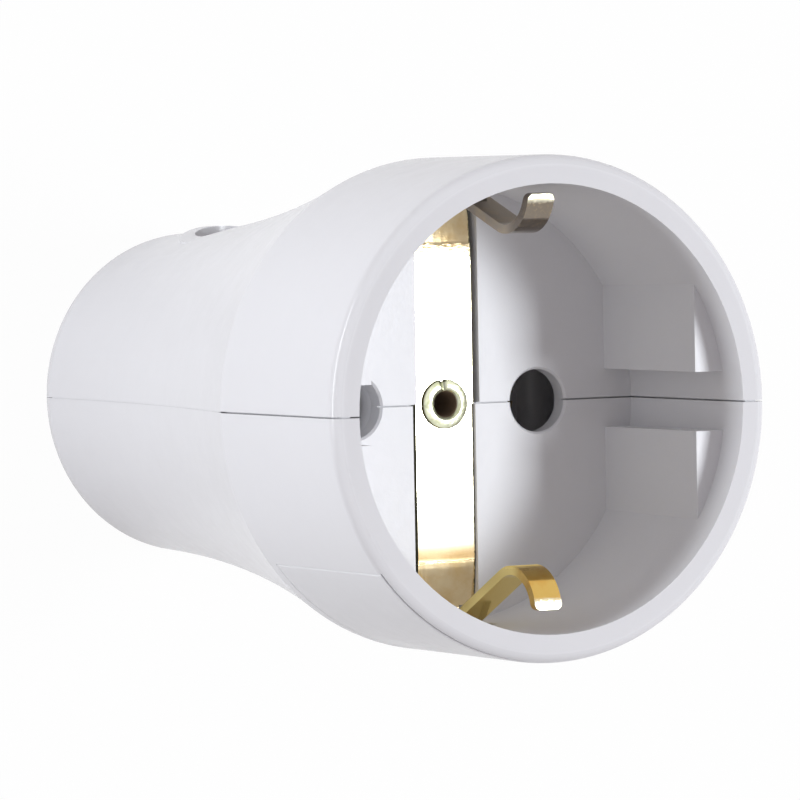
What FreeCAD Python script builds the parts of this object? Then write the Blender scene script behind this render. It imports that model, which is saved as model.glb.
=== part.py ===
import FreeCAD, Part
import math
import os

# Inline socket connector: two round pin holes in a deep round recess, side earth clips,
# two moulded halves split on the plane through both pin holes.
# The frame stands on the rear (cord entry) end: Z runs from the rear face at zero up to the
# mouth, X runs along the line of the pins, and +Y is the half with the screw recess.

V = FreeCAD.Vector
X_DIR = V(1, 0, 0)
Y_DIR = V(0, 1, 0)
Z_DIR = V(0, 0, 1)

# Overall form
total_length = 68.0
mouth_wall = 2.5
head_length = 20.0
head_draft = 0.25
waist_dip = 1.405
rear_round = 4.2
rim_round = 1.1
shoulder_round = 0.9

# Walls and general clearances
wall = 2.2
rear_wall = 2.6
slide_gap = 0.1
thread_gap = 0.02
seam_gap = 0.14
grip_seam_gap = 0.04
seam_depth = 0.6

# Recess that takes the plug
recess_depth = 18.0
recess_mouth_radius = 19.5
recess_draft = 0.2
floor_thickness = 2.5
pad_width = 3.0
pad_front_depth = 3.0
key_slot_width = 5.2

# Shallow sunk panel round the far side of the head
panel_depth = 0.15
panel_half_angle = 52.0
panel_shoulder_gap = 1.2
panel_rim_gap = 0.6

# Pins and their holes
pin_spacing = 19.0
pin_radius = 2.4
pin_length = 19.0
pin_hole_radius = 2.8
pin_hole_chamfer = 0.2
pin_hole_lip = 1.7
pin_hole_relief = 0.9

# Earth bracket: one bent strip with a spring clip at each end
strip_width = 5.9
strip_thickness = 0.8
strip_sink = 0.35
end_slope_length = 5.2
end_dip = 0.45
end_slope_radius = 6.0
corner_inset = 0.55
corner_radius = 0.9
clip_width = 2.7
clip_root_inset = 0.2
clip_root_height = 1.9
clip_root_radius = 1.0
clip_tip_round = 0.6
upper_clip_angle = 20.5
upper_clip_crest_radius = 3.6
upper_clip_crest_depth = 5.4
upper_clip_tip_angle = 82.0
lower_clip_angle = 28.0
lower_clip_crest_radius = 3.6
lower_clip_crest_depth = 5.4
lower_clip_tip_angle = 86.0
channel_side_gap = 0.27
channel_shift = 0.22
channel_end_gap = 0.3
well_lead = 0.5
clip_pocket_gap = 0.45
clip_pocket_height = 5.2

# Eyelet that rivets the earth bracket to the earth terminal
eyelet_bore_radius = 1.25
eyelet_wall = 0.5
eyelet_rim_radius = 2.25
eyelet_rim_height = 0.45
eyelet_flare = 0.45
eyelet_edge = 0.25

# Contact sleeves with their terminal blocks
sleeve_clearance = 0.05
sleeve_wall = 0.75
sleeve_slit = 0.8
sleeve_slit_length = 6.5
sleeve_setback = 7.0
sleeve_collar_radius = 4.3
sleeve_collar_thickness = 1.0
contact_block_side = 7.2
contact_block_length = 9.0
wire_hole_radius = 1.7
wire_hole_depth = 7.0

# Steel ring that keeps each slit sleeve tight
ring_thickness = 0.5
ring_length = 3.0
ring_rear_offset = 0.3
ring_opening = 1.2
ring_gap = 0.03

# Cross ribs that hold the sleeves
rib_thickness = 1.6
front_rib_setback = 0.9
rib_window_half_width = 3.8
rib_window_half_height = 6.0

# Earth terminal
earth_strap_width = 6.6
earth_strap_thickness = 1.0
earth_strap_drop = 4.6
earth_block_height = 6.6
earth_block_length = 8.0
earth_block_setback = 5.4

# Terminal screws and the leaves under them
terminal_shank_radius = 1.5
terminal_head_radius = 2.3
terminal_head_height = 1.8
screw_slot_width = 0.7
screw_slot_depth = 0.8
leaf_thickness = 0.35
leaf_width = 2.2
leaf_lip = 2.2

# Housing screw in its recess on the grip, and the insert below it
screw_station = 15.5
screw_recess_radius = 5.0
screw_pad_rim = 1.4
screw_recess_depth = 3.4
recess_skin = 1.6
post_radius = 3.5
housing_shank_radius = 1.5
housing_head_radius = 3.3
housing_head_height = 2.0
insert_radius = 2.5
insert_length = 6.5
insert_boss_radius = 4.1
blind_depth = 1.5
housing_screw_engagement = 5.5

# Cord clamp
cord_inlet_radius = 4.75
inlet_chamfer = 0.6
clamp_station = 7.5
clamp_width = 5.6
clamp_bite = 0.35
clamp_thickness = 2.2
clamp_boss_radius = 2.6
clamp_boss_room = 1.4
clamp_shank_radius = 1.25
clamp_head_radius = 2.2
clamp_head_height = 1.6
clamp_head_room = 0.18
clamp_screw_length = 6.5

# Pegs and hooks that line up and hold the front of the two halves
peg_radius = 1.0
peg_height = 2.4
peg_boss_radius = 2.1
sleeve_side_room = 0.8
hook_width = 1.9
hook_thickness = 1.4
hook_reach = 4.4
hook_catch = 1.2
ledge_thickness = 1.4

# Radii, reaches and heights worked out from the values above
head_radius = recess_mouth_radius + mouth_wall
head_rear_radius = head_radius - head_draft
clamp_arch_radius = cord_inlet_radius - clamp_bite
clamp_arch_half = math.sqrt((clamp_arch_radius + clamp_thickness) ** 2 - clamp_thickness ** 2)
clamp_screw_offset = clamp_arch_half + clamp_head_room + clamp_head_radius
grip_rear_radius = clamp_screw_offset + clamp_boss_radius + clamp_boss_room + wall
waist_radius = (head_rear_radius + grip_rear_radius) / 2 - waist_dip
recess_floor_radius = recess_mouth_radius - recess_draft
pad_reach = recess_mouth_radius - pad_width
clip_root_reach = recess_mouth_radius - clip_root_inset
corner_reach = clip_root_reach - corner_inset
strip_flat_reach = corner_reach - end_slope_length
strip_wide_reach = corner_reach - corner_radius
floor_top = total_length - recess_depth
floor_back = floor_top - floor_thickness
shoulder_z = total_length - head_length
channel_bottom = floor_top - strip_sink - strip_thickness
well_bottom = channel_bottom - end_dip
well_reach = strip_flat_reach - well_lead
strip_face = floor_top - strip_sink
pin_tip = floor_top - pin_length
sleeve_bore_radius = pin_radius + sleeve_clearance
sleeve_radius = sleeve_bore_radius + sleeve_wall
sleeve_front = floor_back - sleeve_setback
block_front = pin_tip - sleeve_clearance
block_rear = block_front - contact_block_length
rear_rib_z = block_front + slide_gap
collar_z = rear_rib_z + rib_thickness + slide_gap
ring_z = collar_z + sleeve_collar_thickness + ring_rear_offset
front_rib_z = sleeve_front - front_rib_setback - rib_thickness
peg_z = front_rib_z + rib_thickness / 2
hook_front = peg_z - peg_boss_radius - slide_gap
eyelet_radius = eyelet_bore_radius + eyelet_wall
hook_inner = pin_spacing / 2 + sleeve_radius + sleeve_side_room
peg_offset = hook_inner + peg_boss_radius
big = 4 * head_radius


def box(x0, x1, y0, y1, z0, z1):
    return Part.makeBox(x1 - x0, y1 - y0, z1 - z0, V(x0, y0, z0))


def cylinder_z(radius, z0, z1, x=0.0, y=0.0):
    return Part.makeCylinder(radius, z1 - z0, V(x, y, z0), Z_DIR)


def cylinder_y(radius, y0, y1, x, z):
    return Part.makeCylinder(radius, y1 - y0, V(x, y0, z), Y_DIR)


def line(p, q):
    return Part.LineSegment(p, q).toShape()


def arc(p, m, q):
    return Part.Arc(p, m, q).toShape()


def revolve(edges):
    """Turns a closed profile, drawn in the XZ plane, about the Z axis."""
    face = Part.Face(Part.Wire(edges))
    return face.revolve(V(0, 0, 0), Z_DIR, 360)


def rounded_corner(centre, radius, start, end):
    """Arc about a centre in the XZ plane between two angles in degrees."""
    def at(angle):
        turn = math.radians(angle)
        return V(centre[0] + radius * math.cos(turn), 0, centre[1] + radius * math.sin(turn))
    return arc(at(start), at((start + end) / 2), at(end))


def grip_arc(inset):
    """The long hollow curve of the grip, moved inwards by the inset."""
    rear = V(grip_rear_radius - inset, 0, rear_round)
    waist = V(waist_radius - inset, 0, (rear_round + shoulder_z) / 2)
    front = V(head_rear_radius - inset, 0, shoulder_z)
    return Part.Arc(rear, waist, front).toShape()


def outer_form(inset=0.0):
    """Solid of the whole outside: round rear edge, hollow grip, shoulder and head."""
    top = total_length
    side = head_radius - inset
    rounded = rim_round
    flat = grip_rear_radius - rear_round
    edges = [
        line(V(0, 0, inset), V(flat, 0, inset)),
        rounded_corner((flat, rear_round), rear_round - inset, -90, 0),
        grip_arc(inset),
        line(V(head_rear_radius - inset, 0, shoulder_z), V(side, 0, top - rounded)),
        rounded_corner((side - (rounded - inset), top - rounded), rounded - inset, 0, 90),
        line(V(side - (rounded - inset), 0, top - inset), V(0, 0, top - inset)),
        line(V(0, 0, top - inset), V(0, 0, inset)),
    ]
    form = revolve(edges)
    corner = [e for e in form.Edges if is_circle_at(e, head_rear_radius - inset, shoulder_z)]
    return form.makeFillet(shoulder_round, corner)


def is_circle_at(edge, radius, z):
    round_edge = isinstance(edge.Curve, Part.Circle)
    return round_edge and abs(edge.Curve.Radius - radius) < 0.01 and abs(edge.Curve.Center.z - z) < 0.01


def cavity_form():
    """Everything hollow behind the recess floor, before its ribs and bosses are left standing."""
    grip = revolve([
        line(V(0, 0, rear_round), V(grip_rear_radius - wall, 0, rear_round)),
        grip_arc(wall),
        line(V(head_rear_radius - wall, 0, shoulder_z), V(0, 0, shoulder_z)),
        line(V(0, 0, shoulder_z), V(0, 0, rear_round)),
    ])
    entry_radius = grip_rear_radius - wall - (rear_round - rear_wall)
    entry = cylinder_z(entry_radius, rear_wall, rear_round + slide_gap)
    head = cylinder_z(head_rear_radius - wall, shoulder_z, total_length)
    return grip.fuse(entry).fuse(head).common(box(-big, big, -big, big, rear_wall, floor_back))


def ribs():
    """Two cross walls with round seats for the sleeves and a window for the earth wire."""
    window = box(
        -rib_window_half_width, rib_window_half_width,
        -rib_window_half_height, rib_window_half_height, 0, total_length,
    )
    walls = []
    for z in (rear_rib_z, front_rib_z):
        plate = cylinder_z(head_radius, z, z + rib_thickness)
        for side in (-1, 1):
            seat = cylinder_z(sleeve_radius + slide_gap, 0, total_length, side * pin_spacing / 2)
            plate = plate.cut(seat)
        walls.append(plate.cut(window))
    return walls


def recess_floor_y():
    """Height of the flat bottom of the screw recess above the parting plane."""
    level = Part.makeLine(V(0, 0, screw_station), V(head_radius, 0, screw_station))
    surface_radius = grip_arc(0.0).distToShape(level)[1][0][0].x
    return surface_radius - screw_recess_depth


def screw_pad():
    """Low round pad about the screw recess. Its top keeps the grip's radius at the screw, so it
    stands proud only on the side towards the rear."""
    reach = screw_recess_radius + screw_pad_rim
    pad = cylinder_y(reach, recess_floor_y(), big, 0, screw_station)
    top = recess_floor_y() + screw_recess_depth
    return pad.common(cylinder_z(top, screw_station - reach, screw_station + reach))


def bosses():
    """Solid columns left standing in the cavity: screw post, insert boss and clamp bosses."""
    cup_bottom = recess_floor_y()
    columns = [
        cylinder_y(screw_recess_radius + recess_skin, cup_bottom - recess_skin, big, 0, screw_station),
        cylinder_y(post_radius, 0, cup_bottom, 0, screw_station),
        cylinder_y(insert_boss_radius, -big, 0, 0, screw_station),
    ]
    for side in (-1, 1):
        columns.append(cylinder_y(clamp_boss_radius, -big, 0, side * clamp_screw_offset, clamp_station))
        columns.append(cylinder_y(peg_boss_radius, -big, big, side * peg_offset, peg_z))
    saddle = box(
        -clamp_screw_offset, clamp_screw_offset, -big, -cord_inlet_radius + 0.6,
        clamp_station - clamp_width / 2 + 1, clamp_station + clamp_width / 2 - 1,
    )
    columns.append(saddle.cut(cylinder_z(cord_inlet_radius, 0, total_length)))
    return columns


def recess_form(grow=0.0):
    """The plug recess: a drafted cylinder with two flat pads, each split by a key slot."""
    height = recess_depth + grow
    floor_at = V(0, 0, floor_top - grow)
    bowl = Part.makeCone(recess_floor_radius + grow, recess_mouth_radius + grow, height, floor_at, Z_DIR)
    pads = []
    for side in (-1, 1):
        inner = side * (pad_reach + grow)
        outer = side * big
        pad = box(min(inner, outer), max(inner, outer), -big, big, 0, total_length - pad_front_depth)
        slot = box(-big, big, -key_slot_width / 2 - grow, key_slot_width / 2 + grow, 0, total_length)
        pads.append(pad.cut(slot))
    for pad in pads:
        bowl = bowl.cut(pad)
    return bowl


def clip_spaces():
    """In each half a floor channel for the earth strip, a deeper well at its end, and a clip pocket.
    The two channels stand a little to opposite sides, so each leaves a gap along one edge."""
    half = strip_width / 2 + channel_side_gap
    fold = clip_root_reach + strip_thickness / 2 + clip_pocket_gap
    channel_end = recess_floor_radius - channel_end_gap
    pocket_half = clip_width / 2 + clip_pocket_gap
    pocket_top = floor_top + clip_pocket_height
    spaces = []
    for side in (-1, 1):
        x0 = side * channel_shift - half
        x1 = side * channel_shift + half
        y0, y1 = sorted((0, side * channel_end))
        spaces.append(box(x0, x1, y0, y1, channel_bottom, floor_top + 0.1))
        y0, y1 = sorted((side * well_reach, side * channel_end))
        spaces.append(box(x0, x1, y0, y1, well_bottom, floor_top + 0.1))
        y0, y1 = sorted((side * well_reach, side * fold))
        spaces.append(box(-pocket_half, pocket_half, y0, y1, well_bottom, pocket_top))
    return spaces


def side_panel():
    """Thin curved slab that sinks a smooth panel into the head, centred on the -Y side."""
    z0 = shoulder_z + panel_shoulder_gap
    height = total_length - panel_rim_gap - z0
    sector = Part.makeCylinder(big, height, V(0, 0, z0), Z_DIR, 2 * panel_half_angle)
    sector.rotate(V(0, 0, 0), Z_DIR, -90 - panel_half_angle)
    return sector.cut(outer_form(panel_depth))


def floor_holes():
    """Pin holes, wider behind a thin front lip with its lead-in chamfer, and the eyelet's hole."""
    holes = [cylinder_z(eyelet_radius + slide_gap, floor_back - 1, floor_top + 1)]
    relief = pin_hole_radius + pin_hole_relief
    for side in (-1, 1):
        x = side * pin_spacing / 2
        holes.append(cylinder_z(pin_hole_radius, floor_back - 1, floor_top + 1, x))
        holes.append(cylinder_z(relief, floor_back - 1, floor_top - pin_hole_lip, x))
        holes.append(Part.makeCone(
            pin_hole_radius, pin_hole_radius + pin_hole_chamfer, pin_hole_chamfer,
            V(x, 0, floor_top - pin_hole_chamfer), Z_DIR,
        ))
    return holes


def seam_groove():
    """Fine groove along the parting line, only as deep as the seam depth from each open face. The
    grip closes tighter than the head."""
    head = box(-big, big, -seam_gap / 2, seam_gap / 2, shoulder_z, total_length + 1)
    grip = box(-big, big, -grip_seam_gap / 2, grip_seam_gap / 2, -1, shoulder_z)
    kept = outer_form(seam_depth).cut(recess_form(seam_depth))
    return head.fuse(grip).cut(kept)


def screw_cuts():
    """Recess, shank hole and insert seat of the housing screw, and the clamp screws' holes."""
    cup_bottom = recess_floor_y()
    shank = housing_shank_radius + slide_gap
    cuts = [
        cylinder_y(screw_recess_radius, cup_bottom, big, 0, screw_station),
        cylinder_y(shank, -insert_length - blind_depth, cup_bottom + 1, 0, screw_station),
        cylinder_y(insert_radius + thread_gap, -insert_length, 1e-3, 0, screw_station),
    ]
    depth = clamp_screw_length - clamp_thickness + 0.6
    for side in (-1, 1):
        x = side * clamp_screw_offset
        cuts.append(cylinder_y(clamp_shank_radius + thread_gap, -depth, 0.1, x, clamp_station))
    return cuts


def cord_inlet():
    hole = cylinder_z(cord_inlet_radius, -1, rear_wall + 1)
    lead = Part.makeCone(
        cord_inlet_radius + inlet_chamfer, cord_inlet_radius, inlet_chamfer, V(0, 0, 0), Z_DIR)
    return hole.fuse(lead)


def hook(side):
    """Lug of the upper half that reaches past the parting plane and catches under a ledge."""
    x0 = side * hook_inner
    x1 = side * (hook_inner + hook_width)
    z0 = hook_front - hook_thickness
    lug = box(min(x0, x1), max(x0, x1), -hook_reach, head_radius, z0, hook_front)
    catch = box(min(x0, x1), max(x0, x1), -hook_reach, -hook_reach + hook_catch, z0 - hook_catch, z0)
    return lug.fuse(catch)


def ledge(side):
    """Ledge of the lower half that the hook's catch holds on to."""
    x0 = side * hook_inner
    x1 = side * head_radius
    top = -hook_reach + hook_catch + slide_gap
    z1 = hook_front - hook_thickness - slide_gap
    return box(min(x0, x1), max(x0, x1), top, top + ledge_thickness, z1 - hook_catch, z1)


def housing():
    """Both halves before they are split, then each half with its own hooks, pegs and seats."""
    hollow = cavity_form()
    inside = hollow.copy()
    for solid in ribs() + bosses():
        hollow = hollow.cut(solid)
    body = outer_form().fuse(screw_pad()).cut(hollow).cut(recess_form())
    for space in clip_spaces() + floor_holes() + screw_cuts():
        body = body.cut(space)
    body = body.cut(cord_inlet()).cut(seam_groove()).cut(side_panel())
    upper = body.common(box(-big, big, 0, big, -1, total_length + 1))
    lower = body.common(box(-big, big, -big, 0, -1, total_length + 1))
    for side in (-1, 1):
        upper = upper.fuse(hook(side).common(inside))
        lower = lower.fuse(ledge(side).common(inside))
        peg = cylinder_y(peg_radius, -1, peg_height, side * peg_offset, peg_z)
        hole = cylinder_y(peg_radius + slide_gap, -1, peg_height + slide_gap, side * peg_offset, peg_z)
        lower = lower.fuse(peg)
        upper = upper.cut(hole)
    return upper.removeSplitter(), lower.removeSplitter()


def path_with_bends(points, radii):
    """Open run of lines and tangent arcs through (y, z) points, a radius at each inner point."""
    edges = []
    start = V(0, *points[0])
    for before, corner, after, radius in zip(points, points[1:], points[2:], radii):
        p, c, q = V(0, *before), V(0, *corner), V(0, *after)
        back = (p - c).normalize()
        ahead = (q - c).normalize()
        half = back.getAngle(ahead) / 2
        reach = radius / math.tan(half)
        middle = (back + ahead).normalize()
        centre = c + middle * (radius / math.sin(half))
        entry = c + back * reach
        edges.append(line(start, entry))
        edges.append(arc(entry, centre - middle * radius, c + ahead * reach))
        start = c + ahead * reach
    edges.append(line(start, V(0, *points[-1])))
    return edges


def bent_sheet(edges, thickness, width):
    """Sheet of even thickness about a path in the YZ plane, as wide as given, centred on X."""
    path = Part.Wire(edges)
    side_a = path.makeOffset2D(thickness / 2, 0, False, True)
    side_b = path.makeOffset2D(-thickness / 2, 0, False, True)
    loop = side_a.Edges + side_b.Edges
    for end in (0, -1):
        loop.append(line(side_a.OrderedVertexes[end].Point, side_b.OrderedVertexes[end].Point))
    face = Part.Face(Part.Wire(Part.__sortEdges__(loop)))
    face.translate(V(-width / 2, 0, 0))
    return face.extrude(V(width, 0, 0))


def clip_path(side, angle, crest_radius, crest_depth, tip_angle):
    """Half of the bracket: flat strip, end that dips, corner up the wall, fold at the root,
    straight arm and curved tip."""
    lean = math.radians(angle)
    strip_z = strip_face - strip_thickness / 2
    root_z = floor_top + clip_root_height
    bend_z = total_length - crest_depth - crest_radius * math.sin(lean)
    bend_y = clip_root_reach - math.tan(lean) * (bend_z - root_z)
    points = [
        (0, strip_z), (side * strip_flat_reach, strip_z), (side * corner_reach, strip_z - end_dip),
        (side * clip_root_reach, root_z), (side * bend_y, bend_z),
    ]
    edges = path_with_bends(points, (end_slope_radius, corner_radius, clip_root_radius))
    centre_y = bend_y + crest_radius * math.cos(lean)
    centre_z = bend_z + crest_radius * math.sin(lean)

    def on_crest(turn):
        y = centre_y - crest_radius * math.cos(turn)
        return V(0, side * y, centre_z + crest_radius * math.sin(turn))

    tip = math.radians(tip_angle)
    edges.append(arc(V(0, side * bend_y, bend_z), on_crest((tip - lean) / 2), on_crest(tip)))
    return edges, on_crest(tip)


def earth_bracket():
    """Brass strip along the recess floor with a spring clip folded up at each end."""
    upper, upper_tip = clip_path(
        1, upper_clip_angle, upper_clip_crest_radius, upper_clip_crest_depth, upper_clip_tip_angle)
    lower, lower_tip = clip_path(
        -1, lower_clip_angle, lower_clip_crest_radius, lower_clip_crest_depth, lower_clip_tip_angle)
    halves = [bent_sheet(edges, strip_thickness, strip_width) for edges in (upper, lower)]
    sheet = halves[0].fuse(halves[1])
    wide_top = floor_top + 2.2
    wide = box(-strip_width / 2, strip_width / 2, -strip_wide_reach, strip_wide_reach, 0, wide_top)
    narrow = box(-clip_width / 2, clip_width / 2, -big, big, 0, total_length + 1)
    sheet = sheet.common(wide.fuse(narrow))
    for tip in (upper_tip, lower_tip):
        sheet = round_tip(sheet, tip)
    hole = cylinder_z(eyelet_radius + slide_gap / 2, 0, total_length)
    return sheet.cut(hole).removeSplitter()


def round_tip(sheet, tip):
    """Rounds the two corners at a clip's free end."""
    corners = []
    for edge in sheet.Edges:
        middle = edge.CenterOfMass
        at_side = abs(abs(middle.x) - clip_width / 2) < 1e-3
        near = V(0, middle.y, middle.z).distanceToPoint(tip) < 0.05
        if at_side and near:
            corners.append(edge)
    return sheet.makeFillet(clip_tip_round, corners)


def earth_eyelet():
    """Hollow rivet with a flared rim on the strip and a spread foot behind the earth terminal."""
    inner = eyelet_bore_radius
    outer = eyelet_radius
    rim_z = strip_face
    foot_z = floor_back - earth_strap_thickness
    top = rim_z + eyelet_rim_height
    edge_z = top - eyelet_edge
    edge_r = eyelet_rim_radius - eyelet_edge
    edges = [
        line(V(inner, 0, foot_z - 0.5), V(inner, 0, top - eyelet_flare)),
        rounded_corner((inner + eyelet_flare, top - eyelet_flare), eyelet_flare, 180, 90),
        line(V(inner + eyelet_flare, 0, top), V(edge_r, 0, top)),
        rounded_corner((edge_r, edge_z), eyelet_edge, 90, 0),
        line(V(eyelet_rim_radius, 0, edge_z), V(eyelet_rim_radius, 0, rim_z)),
        line(V(eyelet_rim_radius, 0, rim_z), V(outer, 0, rim_z)),
        line(V(outer, 0, rim_z), V(outer, 0, foot_z)),
        line(V(outer, 0, foot_z), V(eyelet_rim_radius, 0, foot_z)),
        line(V(eyelet_rim_radius, 0, foot_z), V(eyelet_rim_radius - 0.2, 0, foot_z - 0.5)),
        line(V(eyelet_rim_radius - 0.2, 0, foot_z - 0.5), V(inner, 0, foot_z - 0.5)),
    ]
    return revolve(edges)


def rounded_block(x, y0, y1, z0, z1, width, radius):
    """Block about a line parallel to Y, with its four long edges rounded."""
    block = box(x - width / 2, x + width / 2, y0, y1, z0, z1)
    long_edges = [e for e in block.Edges if abs(e.tangentAt(e.FirstParameter).z) > 0.9]
    return block.makeFillet(radius, long_edges)


def wire_terminal(x, y0, y1, z0, z1, width):
    """Pillar block with a wire hole from its rear face and a threaded hole across it."""
    block = rounded_block(x, y0, y1, z0, z1, width, 0.6)
    middle = (y0 + y1) / 2
    wire = cylinder_z(wire_hole_radius, z0 - 1, z0 + wire_hole_depth, x, middle)
    thread = cylinder_y(terminal_shank_radius + thread_gap, middle, y1 + 1, x, z0 + wire_hole_depth / 2)
    return block.cut(wire).cut(thread)


def contact_sleeve(side):
    """Slit brass sleeve that grips a pin, turned in one piece with its terminal block."""
    x = side * pin_spacing / 2
    half = contact_block_side / 2
    tube = cylinder_z(sleeve_radius, block_front - 1, sleeve_front, x)
    collar = cylinder_z(sleeve_collar_radius, collar_z, collar_z + sleeve_collar_thickness, x)
    block = wire_terminal(x, -half, half, block_rear, block_front, contact_block_side)
    bore = cylinder_z(sleeve_bore_radius, block_front, total_length, x)
    lead = Part.makeCone(
        sleeve_bore_radius, sleeve_bore_radius + 0.4, 0.4, V(x, 0, sleeve_front - 0.4), Z_DIR)
    slit = box(
        x - head_radius, x + head_radius, -sleeve_slit / 2, sleeve_slit / 2,
        sleeve_front - sleeve_slit_length, total_length,
    )
    return block.fuse(tube).fuse(collar).cut(bore).cut(lead).cut(slit).removeSplitter()


def contact_ring(side):
    """Open steel ring around a sleeve."""
    x = side * pin_spacing / 2
    inner = sleeve_radius + ring_gap
    ring = cylinder_z(inner + ring_thickness, ring_z, ring_z + ring_length, x)
    ring = ring.cut(cylinder_z(inner, 0, total_length, x))
    opening = box(x - ring_opening / 2, x + ring_opening / 2, 0, big, 0, total_length)
    return ring.cut(opening)


def earth_terminal():
    """Strap riveted behind the recess floor, folded back to a pillar terminal."""
    half = earth_strap_thickness / 2
    plate_z = floor_back - half
    leg_y = -earth_strap_drop
    block_front_z = floor_back - earth_block_setback
    points = [(eyelet_rim_radius + 1, plate_z), (leg_y, plate_z), (leg_y, block_front_z - 2)]
    edges = path_with_bends(points, (earth_strap_thickness,))
    strap = bent_sheet(edges, earth_strap_thickness, earth_strap_width)
    y0 = leg_y - half
    y1 = y0 + earth_block_height
    block_rear_z = block_front_z - earth_block_length
    block = wire_terminal(0, y0, y1, block_rear_z, block_front_z, earth_strap_width)
    hole = cylinder_z(eyelet_radius + slide_gap / 2, floor_back - 2, floor_back + 1)
    return block.fuse(strap.cut(box(-big, big, -big, big, 0, block_front_z))).cut(hole).removeSplitter()


def screw(x, z, seat, head_radius_, head_height, shank_radius, length):
    """Round-headed slotted screw along Y, its head standing on the seat."""
    dome = head_height * 0.45
    edges = [
        line(V(0, 0, head_height), V(head_radius_ * 0.55, 0, head_height)),
        arc(V(head_radius_ * 0.55, 0, head_height), V(head_radius_ * 0.86, 0, head_height - dome * 0.4),
            V(head_radius_, 0, head_height - dome)),
        line(V(head_radius_, 0, head_height - dome), V(head_radius_, 0, 0)),
        line(V(head_radius_, 0, 0), V(shank_radius, 0, 0)),
        line(V(shank_radius, 0, 0), V(shank_radius, 0, -length + 0.4)),
        line(V(shank_radius, 0, -length + 0.4), V(shank_radius - 0.4, 0, -length)),
        line(V(shank_radius - 0.4, 0, -length), V(0, 0, -length)),
        line(V(0, 0, -length), V(0, 0, head_height)),
    ]
    body = revolve(edges)
    slot = box(-big, big, -screw_slot_width / 2, screw_slot_width / 2, head_height - screw_slot_depth, big)
    body = body.cut(slot)
    body.rotate(V(0, 0, 0), X_DIR, -90)
    body.translate(V(x, seat, z))
    return body


def terminal_parts(x, y0, y1, z0):
    """The clamping screw and the spring leaf of one pillar terminal."""
    middle = (y0 + y1) / 2
    leaf_top = middle + math.sqrt(wire_hole_radius ** 2 - (leaf_width / 2) ** 2) - slide_gap
    station = z0 + wire_hole_depth / 2
    length = y1 - leaf_top - thread_gap
    clamp = screw(x, station, y1, terminal_head_radius, terminal_head_height, terminal_shank_radius, length)
    half = leaf_thickness / 2
    leaf_y = leaf_top - half
    points = [(leaf_y + leaf_lip, z0 - half), (leaf_y, z0 - half), (leaf_y, z0 + wire_hole_depth - 0.5)]
    leaf = bent_sheet(path_with_bends(points, (leaf_thickness,)), leaf_thickness, leaf_width)
    leaf.translate(V(x, 0, 0))
    return clamp, leaf


def cord_clamp():
    """Arched bar that presses on the cord, seated on the two clamp bosses."""
    z0 = clamp_station - clamp_width / 2
    end = clamp_screw_offset + clamp_boss_radius
    foot = cylinder_end_bar(end, z0)
    arch = cylinder_z(clamp_arch_radius + clamp_thickness, z0, z0 + clamp_width)
    arch = arch.common(box(-big, big, 0, big, 0, total_length))
    bar = foot.fuse(arch).cut(cylinder_z(clamp_arch_radius, 0, total_length))
    for side in (-1, 1):
        x = side * clamp_screw_offset
        bar = bar.cut(cylinder_y(clamp_shank_radius + slide_gap, -1, big, x, clamp_station))
    ridge = cylinder_y(0.9, clamp_arch_radius - 0.6, clamp_arch_radius + 0.5, 0, clamp_station)
    return bar.fuse(ridge).removeSplitter()


def cylinder_end_bar(end, z0):
    """Flat bar with rounded ends, lying on the parting plane."""
    straight = box(-end + clamp_width / 2, end - clamp_width / 2, 0, clamp_thickness, z0, z0 + clamp_width)
    for side in (-1, 1):
        x = side * (end - clamp_width / 2)
        straight = straight.fuse(cylinder_y(clamp_width / 2, 0, clamp_thickness, x, clamp_station))
    return straight


def housing_insert():
    """Brass threaded insert pressed into the lower half's boss."""
    body = cylinder_y(insert_radius, -insert_length, 0, 0, screw_station)
    waist = cylinder_y(insert_radius + 1, -insert_length * 0.58, -insert_length * 0.42, 0, screw_station)
    waist = waist.cut(cylinder_y(insert_radius - 0.35, -big, big, 0, screw_station))
    return body.cut(waist).cut(cylinder_y(housing_shank_radius + thread_gap, -big, big, 0, screw_station))


def export(shape, name):
    solids = shape.Solids
    assert shape.isValid() and len(solids) == 1, name
    solids[0].exportStep("parts/" + name + ".step")
    print(name, round(solids[0].Volume, 1))


def main():
    os.makedirs("parts", exist_ok=True)
    upper, lower = housing()
    export(upper, "upper_housing")
    export(lower, "lower_housing")
    export(earth_bracket(), "earth_bracket")
    export(earth_eyelet(), "earth_eyelet")
    export(earth_terminal(), "earth_terminal")
    earth_y = -earth_strap_drop - earth_strap_thickness / 2
    earth_z = floor_back - earth_block_setback - earth_block_length
    clamp, leaf = terminal_parts(0, earth_y, earth_y + earth_block_height, earth_z)
    export(clamp, "earth_terminal_screw")
    export(leaf, "earth_terminal_leaf")
    half = contact_block_side / 2
    for side, label in ((-1, "left"), (1, "right")):
        export(contact_sleeve(side), "contact_sleeve_" + label)
        export(contact_ring(side), "contact_ring_" + label)
        clamp, leaf = terminal_parts(side * pin_spacing / 2, -half, half, block_rear)
        export(clamp, "terminal_screw_" + label)
        export(leaf, "terminal_leaf_" + label)
        clamp_screw = screw(
            side * clamp_screw_offset, clamp_station, clamp_thickness,
            clamp_head_radius, clamp_head_height, clamp_shank_radius, clamp_screw_length)
        export(clamp_screw, "clamp_screw_" + label)
    export(cord_clamp(), "cord_clamp")
    export(housing_insert(), "housing_insert")
    housing_length = recess_floor_y() + housing_screw_engagement
    housing_screw = screw(
        0, screw_station, recess_floor_y(), housing_head_radius, housing_head_height,
        housing_shank_radius, housing_length)
    export(housing_screw, "housing_screw")


main()
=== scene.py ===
import math

import bpy
import numpy as np
from mathutils import Matrix, Vector


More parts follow.
